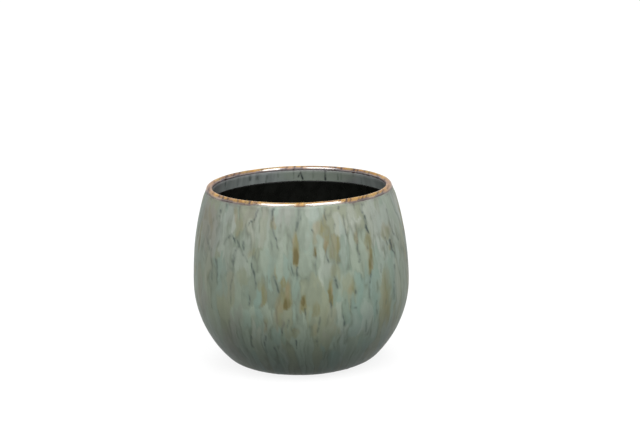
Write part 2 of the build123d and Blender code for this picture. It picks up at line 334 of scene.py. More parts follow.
# Dark veins: width, strength, then x and y along the vein
VEINS = (
    (1.8, 0.75, (232, 235.5), (233, 238), (234.8, 239.8), (236.3, 243)),
    (1.4, 0.45, (236.5, 238.3), (238.5, 240.5), (239.8, 244)),
    (2.2, 0.55, (240, 244.2), (241.6, 248), (242.2, 251.5), (244, 255)),
    (1.4, 0.45, (244, 255), (246, 257.5), (247.8, 261.5)),
    (1.2, 0.5, (243.4, 241), (243.2, 245), (244, 250.5)),
    (1.2, 0.6, (231.5, 234), (228.8, 236.5), (226, 240), (224.2, 244)),
    (1.5, 0.45, (239.8, 246.5), (235.8, 250.5), (233.8, 257), (232, 267), (231.8, 278),
     (229.5, 289.5), (230, 304)),
    (1.3, 0.6, (256, 216.3), (253.7, 220), (251, 222.2), (249, 224.6)),
    (1.4, 0.4, (257.7, 209.5), (256, 214)),
    (1.5, 0.6, (274.3, 208), (272.3, 211.5), (272.4, 223), (273, 232)),
    (1.3, 0.75, (273.3, 232.5), (274.6, 236.5), (276.9, 239.5), (277.6, 243), (277.5, 248)),
    (1.5, 0.65, (252.8, 263.7), (253, 271.7), (254, 277), (255, 289)),
    (1, 0.4, (253.7, 256.4), (253, 263.7)),
    (1.4, 0.55, (291.5, 263.7), (292.8, 271.7), (293.8, 275)),
    (1.5, 0.6, (297.8, 267.7), (297.2, 274.3), (297.2, 279.6)),
    (1.7, 0.65, (275, 277), (276, 282.3), (276.8, 292)),
    (1.3, 0.5, (269.3, 279.6), (269.6, 283)),
    (1.3, 0.6, (220.5, 210), (220.7, 212)),
    (1, 0.4, (219.2, 216), (219.5, 218.6)),
    (1.4, 0.5, (227.2, 204.7), (227.5, 208)),
    (1.4, 0.4, (208, 226), (207.6, 234), (208.3, 244), (209.3, 250.5)),
    (1.7, 0.45, (217.2, 259), (217.2, 270.3), (217, 283)),
    (1.6, 0.35, (211.3, 249), (211, 257), (212, 267), (212.6, 280.3)),
    (2.8, 0.5, (299.5, 206.7), (298.8, 214), (298, 221.2), (296.8, 230.5)),
    (1.6, 0.4, (300.5, 208.5), (300.8, 216), (300.5, 220)),
    (1.8, 0.25, (271, 241), (271, 250.5)),
    (1, 0.5, (325.2, 209.3), (325.5, 216), (326.5, 220.6)),
    (1.6, 0.6, (311, 230.2), (312.3, 231.5)),
    (1.3, 0.65, (326.2, 249.8), (326.5, 257), (328.5, 261.7)),
    (2.6, 0.35, (339.8, 254.4), (337.8, 263)),
    (1.7, 0.4, (315.9, 255.7), (315.9, 263.7), (316.3, 275)),
    (1.2, 0.4, (343.1, 216), (344.1, 224), (345.8, 232), (347.4, 235.8)),
    (2, 0.35, (333.8, 224), (334.2, 228.5)),
    (1.5, 0.6, (354.4, 204.7), (355.4, 208.6)),
    (1.4, 0.6, (362.4, 204.7), (363, 206), (363, 212.6)),
    (1.2, 0.6, (339.5, 206.7), (338.8, 208.6)),
    (1.6, 0.75, (364.3, 216), (365.3, 222.6), (365.3, 226.6), (367, 230.5), (368, 232.5)),
    (1.1, 0.5, (357.6, 241), (357.6, 250.4), (358.4, 257), (358.7, 262.4)),
    (1.5, 0.6, (367, 246.4), (367.3, 247.8)),
    (1.1, 0.65, (386.2, 237.2), (386.9, 241), (387.9, 245)),
    (1.3, 0.75, (389.5, 239.8), (390.9, 245), (391.9, 249), (394.2, 253), (394.8, 257)),
    (1.2, 0.5, (386.2, 209.3), (387, 212.6), (388.5, 218.6), (390.2, 224.6), (392.2, 230.5), (398.2, 239.8)),
    (1.7, 0.65, (370.6, 271.7), (371, 279), (370, 283.6), (370.3, 292), (370.3, 298)),
    (1.2, 0.45, (380.3, 263.7), (380.6, 271.7)),
    (1.2, 0.45, (393.8, 265), (393.5, 277), (393.8, 290), (393.4, 299.3)),
    (2.6, 0.7, (334.8, 280.3), (336, 283.6), (336.8, 287)),
    (1.4, 0.5, (339, 283), (339.5, 287)),
    (1.1, 0.4, (333.8, 277), (335.8, 281)),
    (1.1, 0.3, (361, 274.3), (360.7, 281)),
    (1.6, 0.6, (243.4, 293.3), (243.4, 296)),
    (1.5, 0.6, (249.4, 296), (250, 300.6), (249, 304.6)),
    (1.2, 0.45, (247, 323.8), (246.7, 328.5)),
    (1.4, 0.45, (265.3, 323), (266, 326.5)),
    (1.4, 0.65, (284.2, 323), (282.9, 328.5), (282.2, 335.8)),
    (1.3, 0.5, (287.9, 319.8), (287.2, 327)),
    (1.1, 0.5, (251.4, 336.4), (252.4, 342.4), (254.7, 347)),
    (1.5, 0.55, (266, 336.4), (266, 345.7), (267, 352.4)),
    (2.6, 0.5, (275.6, 347.7), (277.6, 352.4)),
    (1.5, 0.65, (296.5, 340.4), (297.5, 347.7)),
    (1.7, 0.6, (276.6, 287.3), (277.3, 292)),
    (1.4, 0.45, (295.5, 308.6), (295.9, 310)),
    (1.1, 0.6, (330.4, 300.6), (330.5, 309.2), (330.6, 317.2)),
    (1.4, 0.55, (305.6, 308.6), (305.3, 314), (305.3, 319.2)),
    (1.2, 0.45, (386.5, 300), (386.2, 304)),
    (1.1, 0.5, (351, 299.3), (351.4, 307.2), (357, 307.6)),
    (1.6, 0.6, (342.1, 314.5), (343.4, 320.5), (344.1, 325)),
    (1.1, 0.4, (345.1, 300), (345.4, 304)),
    (1.4, 0.4, (365.3, 319.8), (365, 331)),
    (1.1, 0.4, (377, 300.6), (376.6, 308), (376.3, 314.5)),
    (1.2, 0.4, (319.2, 317.8), (319.2, 325.8), (318.9, 332.4)),
    (1.6, 0.5, (318.6, 337.7), (318.2, 345.7)),
    (1.7, 0.35, (380.6, 332.4), (379.6, 337)),
    (1.4, 0.55, (355.4, 290), (356, 293.6)),
    (2, 0.3, (334.5, 343.7), (334.8, 349.7)),
)
# Cloudy patches: x, y, half width, half height, strength
PALE_PATCHES = (
    (230.5, 217.3, 5, 11, 0.35), (263, 224, 8, 17, 0.2), (224, 230, 5, 12, 0.35), (250, 238, 5, 12, 0.4),
    (285, 218, 9, 12, 0.2), (214, 244, 7, 18, 0.35), (257, 236, 7, 11, 0.3), (241, 257, 6, 12, 0.35),
    (282, 246, 3.3, 13, 0.2), (312, 214.5, 8, 8, 0.3), (309, 237, 4, 10, 0.15), (320, 245, 4, 11, 0.1),
    (208, 262, 5, 14, 0.3), (229, 252, 5, 12, 0.3), (380, 234, 8, 13, 0.55), (397, 272, 4, 28, 0.35),
    (372, 288, 8, 14, 0.2), (336, 322, 8, 12, 0.25), (352, 328, 9, 12, 0.35), (366, 324, 9, 16, 0.5),
    (344, 338, 8, 8, 0.3), (260, 331, 9, 11, 0.35), (286, 345, 5, 8, 0.3), (338, 219, 4.6, 9, 0.4),
    (349, 215, 6.6, 11, 0.5), (371.5, 216, 7.5, 13, 0.7), (357.5, 222, 5.5, 13, 0.65),
    (377.5, 241, 5, 12, 0.8), (325, 267, 7.5, 10, 0.35), (342.5, 232, 4.5, 9, 0.45),
    (383, 214, 5, 12, 0.5), (392, 230, 4, 14, 0.45), (384, 262, 5, 13, 0.4), (344, 260, 5, 12, 0.25),
    (352, 236, 4, 11, 0.4),
)
TEAL_PATCHES = (
    (222, 277, 5.5, 13, 0.45), (202.5, 250, 4, 20, 0.35), (269, 273.5, 4, 10, 0.45),
    (282, 273, 6, 11, 0.5), (289, 269, 4, 8, 0.45), (270, 263.5, 5.5, 5.5, 0.3),
    (306.5, 252, 4.6, 11, 0.5), (379.5, 256, 7, 11, 0.4), (363.5, 282, 7.5, 13, 0.7),
    (375.5, 282, 6, 13, 0.6), (344.5, 267, 5.5, 8, 0.4), (393, 270, 8, 17, 0.4), (338, 289, 3.3, 4, 0.5),
    (387.5, 252, 5.5, 8, 0.4), (257.5, 304.5, 4, 9, 0.6), (257.5, 314.5, 3.3, 13, 0.55),
    (257, 328.5, 3.3, 9, 0.5), (218.5, 297, 4, 11, 0.3), (247.5, 314.5, 4.6, 11, 0.35),
    (286, 332, 6, 6, 0.5), (298, 290, 4, 6.5, 0.4), (281.5, 368, 5.5, 4, 0.3), (368, 302.5, 9.5, 18, 0.8),
    (359.5, 319, 12, 12, 0.75), (336, 294.5, 4, 9, 0.65), (337, 302.5, 4.6, 10, 0.45),
    (310.5, 318, 2.6, 5.5, 0.4), (363, 336, 6, 9, 0.5), (331, 362, 9.5, 8, 0.55),
    (394, 294, 4.6, 13, 0.4), (348, 318, 7, 15, 0.6), (342, 334, 8, 10, 0.5),
)
TAUPE_PATCHES = (
    (207, 227, 11, 25, 0.5), (216, 238, 7, 16, 0.15), (203.5, 299, 6, 20, 0.5), (233, 328.5, 8, 10, 0.4),
    (236, 319, 5.5, 11, 0.3), (281, 322, 5.5, 4.6, 0.4), (349, 306, 2, 5.5, 0.3),
    (324.5, 335, 4, 5.5, 0.3), (389.5, 332, 8, 11, 0.3), (230, 345, 9, 14, 0.4), (212, 211, 9, 9, 0.3),
    (230, 212, 8, 8, 0.3), (247, 211, 10, 8, 0.35), (264, 213, 9, 8, 0.35), (284, 212, 10, 8, 0.35),
    (226, 284, 8, 20, 0.3),
)
DEEP_PATCHES = (
    (257, 288, 8, 15, 0.55), (266, 297, 7, 12, 0.55), (274, 300, 5, 14, 0.45), (247, 300, 7, 13, 0.45),
    (292, 304, 5, 10, 0.55), (300, 306, 7, 9, 0.55), (270, 244, 3, 12, 0.4), (268, 256, 8, 10, 0.25),
    (256, 268, 6, 10, 0.3), (294, 222, 5, 12, 0.35), (279, 214, 5, 8, 0.3), (272, 222, 4, 10, 0.3),
    (272, 282, 9, 20, 0.4), (301, 236, 6, 12, 0.35), (314, 240, 6, 12, 0.4), (312, 298, 8, 12, 0.35),
    (238, 357, 9, 9, 0.7), (266, 236, 7, 12, 0.25), (286, 256, 5, 10, 0.4), (294, 240, 4, 10, 0.35),
    (272, 298, 12, 12, 0.35), (292, 294, 6, 10, 0.35),
)

# Dark ticks across the amber lip: x and y of their middles, width, strength
LIP_TICKS = (
    (208.7, 189.5, 1.8, 0.8), (213.5, 192.3, 1, 0.5), (219.7, 195.5, 1, 0.6), (222.8, 198, 1.2, 0.8),
    (227.8, 199, 1.9, 0.8), (237.8, 201.2, 1.2, 0.8), (245.2, 202.5, 1.2, 0.6), (249.6, 203.2, 1.4, 0.9),
    (254.5, 203.6, 0.9, 0.4), (299, 204.5, 1.2, 0.6), (304.5, 204, 1.4, 0.5), (339.5, 201.5, 1.2, 0.7),
    (346.2, 201, 1.4, 0.8), (350.2, 200.5, 1.2, 0.6), (358.9, 198.5, 1.6, 0.5), (362.6, 197.5, 1.2, 0.7),
    (366.3, 196.8, 1.2, 0.6), (377.7, 193.5, 1.4, 0.6), (382.7, 191.5, 1.4, 0.7), (388, 187, 1.2, 0.5),
    (214, 184, 1.2, 0.5), (219, 180.5, 1.2, 0.5), (226.3, 177.7, 1.8, 0.9), (234, 174.7, 1.4, 0.7),
    (239.5, 172.8, 1.2, 0.7), (247.4, 171.5, 1.2, 0.5), (287, 167, 1.4, 0.7), (294.2, 168, 1.3, 0.8),
    (302.4, 166.6, 1.8, 0.6), (322.4, 165.8, 1.2, 0.6), (329.5, 169, 1.2, 0.6), (335.2, 168.6, 1.4, 0.7),
    (341.5, 167.7, 1.2, 0.7), (353.6, 170, 2.4, 1), (357.6, 170, 1.4, 0.7), (364.3, 171.7, 1.4, 0.8),
    (368.6, 174.2, 1.3, 0.6), (377, 177, 1.2, 0.5), (384, 181, 1.2, 0.5),
)
# Stretches of the lip that are duller, mauve, or clear of plum at its edge, written as the patches are
LIP_DULL = (
    (300.5, 205, 5, 7, 0.9), (293, 168, 12, 5, 0.85), (208, 187, 11, 12, 0.65), (391, 184, 11, 12, 0.65),
)
LIP_MAUVE = ((232, 176, 11, 6, 0.6), (312, 167, 9, 4, 0.35), (208, 185, 9, 9, 0.6), (391, 184, 9, 9, 0.5))
LIP_CLEAR = ((277, 206, 22, 9, 1.0), (324, 205, 22, 9, 1.0))
# Dark streaks down the collar inside the mouth, written as the veins are
COLLAR_STREAKS = (
    (2, 0.65, (249.6, 171.5), (250, 180)), (2.4, 0.55, (257.6, 170.5), (257.4, 179)),
    (1.6, 0.5, (226, 179), (225.3, 189)), (1.4, 0.4, (267, 176), (266, 182)),
    (1.4, 0.3, (278, 170), (278, 177)), (1.3, 0.6, (300.8, 172.2), (298.3, 176.8)),
    (1.5, 0.75, (300.8, 172.2), (302.6, 179)), (1.8, 0.95, (325.2, 168), (325.6, 179.5)),
    (1.2, 0.5, (337.6, 174), (337.6, 179.5)), (1.2, 0.35, (341.4, 173), (341.4, 179.5)),
    (2, 0.45, (352.9, 171), (353.3, 175.5)), (1.2, 0.3, (361.5, 178), (361.5, 183)),
    (1.4, 0.3, (294, 170), (294, 178)), (1.6, 0.25, (313, 170), (313, 178)),
    (1.3, 0.3, (238, 178), (237.4, 185)),
)

# Paler stretch of the collar
COLLAR_PALE = ((318, 174, 36, 11, 0.6),)

# The side away from the photograph is unrolled to the photograph's scale, and marks are dealt out over it
DEAL_SEED = 7
DEAL_ROUNDS = 2
PIXELS_PER_MM = 1.24
UNROLLED_MIDDLE = 300.0
UNROLLED_BASE = 385.0
UNROLLED_HALF = 235.0
DEAL_TOP = 204.0
DEAL_BOTTOM = 345.0
DEAL_DROP = 14.0
SEEN_WHOLLY = 64.0
SEEN_NO_MORE = 77.0


def unrolled_pixels(angle, height):
    """Places of points on the far side, as if it were rolled out flat beside the photograph."""
    away = (angle % (2 * math.pi)) - math.pi
    return UNROLLED_MIDDLE + PIXELS_PER_MM * BELLY_RADIUS * away, UNROLLED_BASE - PIXELS_PER_MM * height


def dealt_places(rng, tops):
    """A new place for each mark: how far it goes down, and where it stands round the pot."""
    drops = np.clip(tops + rng.normal(0, DEAL_DROP, len(tops)), DEAL_TOP, DEAL_BOTTOM) - tops
    return drops, UNROLLED_MIDDLE + rng.uniform(-UNROLLED_HALF, UNROLLED_HALF, len(tops))


def dealt_runs(rng, runs):
    drops, places = dealt_places(rng, np.array([run[1] for run in runs]))
    return tuple(
        (place, top + drop, bottom + drop, width, strength)
        for (_, top, bottom, width, strength), drop, place in zip(runs, drops, places)
    )


def dealt_veins(rng, veins):
    drops, places = dealt_places(rng, np.array([vein[2][1] for vein in veins]))
    dealt = []
    for (width, strength, *path), drop, place in zip(veins, drops, places):
        hand = rng.choice((-1, 1))
        dealt.append((width, strength, *((place + hand * (x - path[0][0]), y + drop) for x, y in path)))
    return tuple(dealt)


def dealt_patches(rng, patches):
    drops, places = dealt_places(rng, np.array([patch[1] for patch in patches]))
    return tuple(
        (place, level + drop, *rest) for (_, level, *rest), drop, place in zip(patches, drops, places)
    )


def cores_of(runs):
    """Brown cores in the lower part of the strongest runs."""
    return tuple(
        (x, bottom - 0.55 * (bottom - top), bottom - 0.05 * (bottom - top), 0.7 * width, 0.75)
        for x, top, bottom, width, strength in runs
        if strength >= 0.6
    )


def run_cover(x, y, runs):
    """How much of each point the runs cover."""
    cover = np.zeros_like(x)
    for middle, top, bottom, width, strength in runs:
        part = (y - top) / (bottom - top)
        along = smooth((part + 0.12) / 0.40) * smooth((1.10 - part) / 0.22)
        taper = 0.55 + 0.45 * np.sin(math.pi * np.clip(part, 0, 1) ** 1.5)
        spread = smooth((1.35 - np.abs(x - middle) / (0.52 * width * taper)) / 0.8)
        cover = 1 - (1 - cover) * (1 - strength * along * spread)
    return cover


def vein_cover(x, y, veins):
    """How dark the veins make each point."""
    cover = np.zeros_like(x)
    for width, strength, *path in veins:
        nearest = np.full_like(x, 1e6)
        for (x0, y0), (x1, y1) in zip(path[:-1], path[1:]):
            run, drop = x1 - x0, y1 - y0
            along = np.clip(((x - x0) * run + (y - y0) * drop) / (run**2 + drop**2), 0, 1)
            nearest = np.minimum(nearest, np.hypot(x - x0 - along * run, y - y0 - along * drop))
        cover = np.maximum(cover, strength * np.exp(-((nearest / (0.45 * width + 0.2)) ** 2)))
    return cover


def patch_cover(x, y, patches):
    """How much of each point the patches cover: each is a long soft lozenge."""
    cover = np.zeros_like(x)
    for middle, level, half_width, half_height, strength in patches:
        away = (np.abs(x - middle) / half_width) ** 1.7 + (np.abs(y - level) / half_height) ** 1.7
        cover = 1 - (1 - cover) * (1 - strength * smooth((1.75 - away) / 1.2))
    return cover


# Glaze colours, in linear light
DEEP_CELADON = np.array((0.158, 0.192, 0.152))
PALE_CELADON = np.array((0.280, 0.335, 0.266))
OLIVE = np.array((0.225, 0.240, 0.158))
DARK_OLIVE = np.array((0.115, 0.135, 0.095))
PALE_GREY = np.array((0.340, 0.376, 0.328))
TEAL = np.array((0.195, 0.280, 0.242))
TAUPE = np.array((0.230, 0.228, 0.200))
OCHRE = np.array((0.182, 0.178, 0.092))
RUST = np.array((0.250, 0.190, 0.100))
BROWN = np.array((0.122, 0.105, 0.046))
VEIN = np.array((0.048, 0.066, 0.062))
AMBER = np.array((0.340, 0.160, 0.026))
LIGHT_AMBER = np.array((0.470, 0.275, 0.070))
TAN = np.array((0.300, 0.220, 0.095))
BROWN_AMBER = np.array((0.045, 0.018, 0.014))
MAUVE = np.array((0.200, 0.120, 0.098))
RUSSET = np.array((0.115, 0.055, 0.030))
PLUM = np.array((0.092, 0.076, 0.073))
VIOLET = np.array((0.150, 0.142, 0.148))
COLLAR_GREY = np.array((0.224, 0.250, 0.240))
COLLAR_VEIN = np.array((0.022, 0.028, 0.030))
SHOULDER_TINT = np.array((1.03, 1.00, 1.03))
MIDDLE_TINT = np.array((1.00, 1.00, 0.98))
FOOT_TINT = np.array((0.92, 1.00, 1.02))
# Darkening towards the foot: partly the glaze's own tone, partly painted shade
PAINTED_FOOT_SHADE = 0.60
RUN_PULL = 0.75
FOLLOWING = {"ochre": 0.30, "brown": 0.10, "vein": 0.0}
# Painted shade on the wall just under the lip, fading out over its reach below
PAINTED_LIP_SHADE = 0.92
PAINTED_LIP_SHADE_REACH = 14.0


def marks_painted(points, angle, height, shake, aside, above):
    """Cover of each kind of mark: as in the photograph on its side, and dealt out on the other.

    Marks are looked up some way aside and above, by their share, so that they take the shape of the runs.
    """
    rng = np.random.default_rng(DEAL_SEED)
    near = smooth(
        (np.cos(angle) - math.cos(math.radians(SEEN_NO_MORE)))
        / (math.cos(math.radians(SEEN_WHOLLY)) - math.cos(math.radians(SEEN_NO_MORE)))
    )
    x_near, y_near = photo_pixels(points)
    x_far, y_far = unrolled_pixels(angle, height)
    far_runs = sum((dealt_runs(rng, OCHRE_RUNS) for _ in range(DEAL_ROUNDS)), ())
    far_veins = sum((dealt_veins(rng, VEINS) for _ in range(DEAL_ROUNDS)), ())
    groups = {
        "ochre": (run_cover, OCHRE_RUNS, far_runs),
        "brown": (run_cover, BROWN_CORES, cores_of(far_runs)),
        "vein": (vein_cover, VEINS, far_veins),
    }
    patch_groups = {"pale": PALE_PATCHES, "teal": TEAL_PATCHES, "taupe": TAUPE_PATCHES, "deep": DEEP_PATCHES}
    for name, patches in patch_groups.items():
        far_patches = sum((dealt_patches(rng, patches) for _ in range(DEAL_ROUNDS)), ())
        groups[name] = (patch_cover, patches, far_patches)
    covers = {}
    for name, (cover, seen, unseen) in groups.items():
        share = FOLLOWING.get(name, 1.0)
        across, down = share * PIXELS_PER_MM * aside, -share * PIXELS_PER_MM * above
        shown = cover(x_near + shake + across * np.cos(angle), y_near + down, seen)
        hidden = cover(x_far + shake + across, y_far + down, unseen)
        covers[name] = hidden + (shown - hidden) * near
    return covers


def tint_and_painted_shade(height):
    """Tint of the glaze by height: greyer at the shoulder, darker towards the foot (partly the glaze's own
    tone, partly painted shade), and painted shade just under the lip.
    """
    low = smooth((height - FOOT_PLANE) / BELLY_HEIGHT)[..., None]
    high = smooth((height - BELLY_HEIGHT) / (POT_HEIGHT - BELLY_HEIGHT))[..., None]
    tint = FOOT_TINT + (MIDDLE_TINT - FOOT_TINT) * low + (SHOULDER_TINT - MIDDLE_TINT) * high
    # How clear a point is of the painted shade under the lip, from 0 right under it to 1
    clear_of_lip_shade = smooth((POT_HEIGHT - height - LIP_BREAK_DEPTH) / PAINTED_LIP_SHADE_REACH)[..., None]
    # The tint, darkened by the painted shade towards the foot and under the lip
    return tint * (PAINTED_FOOT_SHADE + (1 - PAINTED_FOOT_SHADE) * low) * (PAINTED_LIP_SHADE + (1 - PAINTED_LIP_SHADE) * clear_of_lip_shade)


def glaze_paint(points, angle, height):
    """Colour of the outer glaze at each point, with painted shade towards the foot and under the lip."""
    wobble = layered_noise(11, angle, height, 9, 14)
    ripple = layered_noise(17, angle, height, 3, 6)
    hair = layered_noise(19, angle, height, 2.6, 14)
    fibre = layered_noise(83, angle, height, 2.0, 13)
    speck = layered_noise(89, angle, height, 2.6, 4)
    streak = layered_noise(23, angle, height, 5, 26)
    cloud = layered_noise(31, angle, height, 30, 40)
    patchy = smooth((layered_noise(59, angle, height, 12, 20) - 0.35) / 0.35)
    bent = angle + (4.0 * (wobble - 0.5) + 0.7 * (ripple - 0.5)) / BELLY_RADIUS
    slid = height + 16.0 * (cloud - 0.5) + 8.0 * (streak - 0.5)
    wide, tint, wide_border, _, _ = run_cells(37, bent, slid, 8.5, 40, 24)
    fine, _, fine_border, aside, above = run_cells(43, bent, slid, 4.8, 24, 30)
    shake = 1.8 * (wobble - 0.5) + 1.2 * (ripple - 0.5)
    marks = marks_painted(points, angle, height, shake, RUN_PULL * aside, RUN_PULL * above)
    colour = mix(DEEP_CELADON, PALE_CELADON, 0.12 + 0.50 * wide + 0.22 * fine + 0.24 * cloud)
    colour = mix(colour, OLIVE, 0.60 * smooth((tint - 0.60) / 0.2))
    colour = mix(colour, TEAL, 0.30 * smooth((0.30 - tint) / 0.2))
    colour = mix(colour, DEEP_CELADON, marks["deep"])
    colour = mix(colour, TAUPE, marks["taupe"])
    colour = mix(colour, TEAL, marks["teal"] * (0.85 + 0.5 * (wide - 0.5)))
    colour = mix(colour, PALE_GREY, marks["pale"] * (0.95 + 0.4 * (fine - 0.5)))
    rims = 0.38 * smooth(1 - wide_border / 0.30) + 0.15 * smooth(1 - fine_border / 0.25)
    colour = mix(colour, DARK_OLIVE, patchy * rims * (0.6 + 0.8 * ripple))
    ragged = 1.10 + 1.3 * (fibre - 0.5)
    colour = mix(colour, OCHRE, marks["ochre"] * ragged)
    colour = mix(colour, RUST, 0.7 * marks["ochre"] * smooth((0.42 - fibre) / 0.2))
    colour = mix(colour, BROWN, marks["brown"] * ragged)
    colour = colour * (1 + 0.05 * (hair - 0.5) + 0.06 * (ripple - 0.5))[..., None]
    crack = patchy * np.maximum(0.18 * smooth(1 - wide_border / 0.09), 0.08 * smooth(1 - fine_border / 0.09))
    colour = mix(colour, VEIN, crack * smooth((ripple - 0.25) / 0.3))
    colour = mix(colour, VEIN, marks["vein"] * (0.60 + 0.75 * smooth((speck - 0.30) / 0.3)))
    return colour * tint_and_painted_shade(height)


# Materials

def new_material(name):
    material = bpy.data.materials.new(name)
    material.use_nodes = True
    tree = material.node_tree
    return material, tree.nodes, tree.links, tree.nodes["Principled BSDF"]


def stretched_noise(nodes, links, scale, detail, roughness=0.55):
    """Noise in the object's own coordinates, with its own scale on each axis, per metre."""
    place = nodes.new("ShaderNodeTexCoord")
    mapping = nodes.new("ShaderNodeMapping")
    mapping.inputs["Scale"].default_value = scale
    noise = nodes.new("ShaderNodeTexNoise")
    noise.inputs["Scale"].default_value = 1.0
    noise.inputs["Detail"].default_value = detail
    noise.inputs["Roughness"].default_value = roughness
    links.new(place.outputs["Object"], mapping.inputs["Vector"])
    links.new(mapping.outputs["Vector"], noise.inputs["Vector"])
    return noise.outputs["Fac"]


def ranged(nodes, links, value, low, high, out_low, out_high):
    """Maps a value's range to another, without going outside it."""
    step = nodes.new("ShaderNodeMapRange")
    for socket, number in zip(("From Min", "From Max", "To Min", "To Max"), (low, high, out_low, out_high)):
        step.inputs[socket].default_value = number
    links.new(value, step.inputs["Value"])
    return step.outputs["Result"]


def multiplied(nodes, links, colour, factor):
    """A colour made lighter or darker by a factor."""
    product = nodes.new("ShaderNodeVectorMath")
    product.operation = "SCALE"
    links.new(colour, product.inputs[0])
    links.new(factor, product.inputs["Scale"])
    return product.outputs["Vector"]


def two_tone(nodes, links, value, low, dark, high, pale):
    """A colour that goes from dark to pale as a value goes from low to high."""
    ramp = nodes.new("ShaderNodeValToRGB")
    for stop, place, colour in zip(ramp.color_ramp.elements, (low, high), (dark, pale)):
        stop.position = place
        stop.color = (*colour, 1)
    links.new(value, ramp.inputs["Fac"])
    return ramp.outputs["Color"]


def bumped(nodes, links, shader, height, strength, distance):
    bump = nodes.new("ShaderNodeBump")
    bump.inputs["Strength"].default_value = strength
    bump.inputs["Distance"].default_value = distance
    links.new(height, bump.inputs["Height"])
    links.new(bump.outputs["Normal"], shader.inputs["Normal"])


def painted_glaze(name, roughness, specular, ior, bump):
    """Glaze whose colour and gloss were painted on its vertices, with fine streaks, specks and ripples.

    Roughness and specular level are given for the dullest glaze and for the glossiest.
    """
    material, nodes, links, shader = new_material(name)
    painted = nodes.new("ShaderNodeAttribute")
    painted.attribute_name = "glaze"
    streaks = stretched_noise(nodes, links, (380, 380, 190), 3)
    grain = stretched_noise(nodes, links, (1700, 1700, 1100), 3)
    lighter = ranged(nodes, links, streaks, 0.25, 0.75, 0.965, 1.035)
    speckled = ranged(nodes, links, grain, 0.25, 0.75, 0.955, 1.045)
    colour = multiplied(nodes, links, painted.outputs["Color"], lighter)
    colour = multiplied(nodes, links, colour, speckled)
    links.new(colour, shader.inputs["Base Color"])
    dull = ranged(nodes, links, painted.outputs["Alpha"], 0.0, 1.0, *roughness)
    uneven = nodes.new("ShaderNodeMath")
    uneven.operation = "MULTIPLY"
    links.new(dull, uneven.inputs[0])
    links.new(ranged(nodes, links, streaks, 0.2, 0.8, 0.8, 1.2), uneven.inputs[1])
    links.new(uneven.outputs["Value"], shader.inputs["Roughness"])
    level = ranged(nodes, links, painted.outputs["Alpha"], 0.0, 1.0, *specular)
    links.new(level, shader.inputs["Specular IOR Level"])
    shader.inputs["IOR"].default_value = ior
    bumped(nodes, links, shader, streaks, bump, 0.0004)
    return material


def lining_material():
    """Black glaze, faintly cloudy."""
    material, nodes, links, shader = new_material("black_lining")
    cloud = stretched_noise(nodes, links, (140, 140, 90), 4)
    colour = two_tone(nodes, links, cloud, 0.3, (0.0045, 0.0048, 0.0040), 0.7, (0.0095, 0.0100, 0.0085))
    links.new(colour, shader.inputs["Base Color"])
    links.new(ranged(nodes, links, cloud, 0.2, 0.8, 0.22, 0.34), shader.inputs["Roughness"])
    shader.inputs["Specular IOR Level"].default_value = 0.4
    bumped(nodes, links, shader, cloud, 0.2, 0.0008)
    return material


def clay_material():
    """Bare fired clay, grainy, with iron specks."""
    material, nodes, links, shader = new_material("bare_stoneware")
    grain = stretched_noise(nodes, links, (1500, 1500, 1500), 6, 0.7)
    specks = stretched_noise(nodes, links, (420, 420, 420), 2)
    colour = two_tone(nodes, links, grain, 0.3, (0.33, 0.24, 0.165), 0.62, (0.52, 0.42, 0.31))
    dots = ranged(nodes, links, specks, 0.66, 0.72, 1.0, 0.55)
    links.new(multiplied(nodes, links, colour, dots), shader.inputs["Base Color"])
    links.new(ranged(nodes, links, grain, 0.2, 0.8, 0.75, 0.95), shader.inputs["Roughness"])
    bumped(nodes, links, shader, grain, 0.5, 0.0005)
    return material


def felt_material():
    """Grey felt, made of fine fibres."""
    material, nodes, links, shader = new_material("grey_felt")
    fibres = stretched_noise(nodes, links, (2600, 2600, 2600), 6, 0.8)
    colour = two_tone(nodes, links, fibres, 0.3, (0.045, 0.045, 0.045), 0.7, (0.15, 0.15, 0.145))
    links.new(colour, shader.inputs["Base Color"])
    links.new(ranged(nodes, links, fibres, 0.2, 0.8, 0.85, 1.0), shader.inputs["Roughness"])
    shader.inputs["Sheen Weight"].default_value = 0.4
    bumped(nodes, links, shader, fibres, 0.8, 0.0004)
    return material


# Pieces

def lifted(rows, angle, lift):
    """Grid of points at rows of a profile, lifted along the profile's normal."""
    radius = rows[:, 0, None] + lift * rows[:, 2, None]
    height = rows[:, 1, None] + lift * rows[:, 3, None]
    return turned(radius, height, np.broadcast_to(angle, radius.shape))


def row_lengths(rows):
    """Length from each row to the next, and from the last back to the first."""
    following = np.roll(rows[:, :2], -1, axis=0)
    return np.hypot(*(following - rows[:, :2]).T)


def way_down(rows):
    """How far each row lies from the first, along the profile."""
    return np.concatenate(((0.0,), np.cumsum(row_lengths(rows))[:-1]))[:, None]


def spread_out(rows, angle):
    """Angle and height of every point of a grid of rows and columns."""
    shape = (len(rows), len(angle))
    return np.broadcast_to(angle, shape), np.broadcast_to(rows[:, 1, None], shape)


OUTER_COLUMNS = 810
OUTER_SPACING = 1.52
HIDDEN_SPACING = 24.0
COLLAR_BACK_SPACING = 4.0
HIDDEN_SHARE = 1.0
GLAZE_CREEP = 0.8
FILM = 0.05
EDGE_FEATHER = 9.0
FRAY_REACH = 2.2


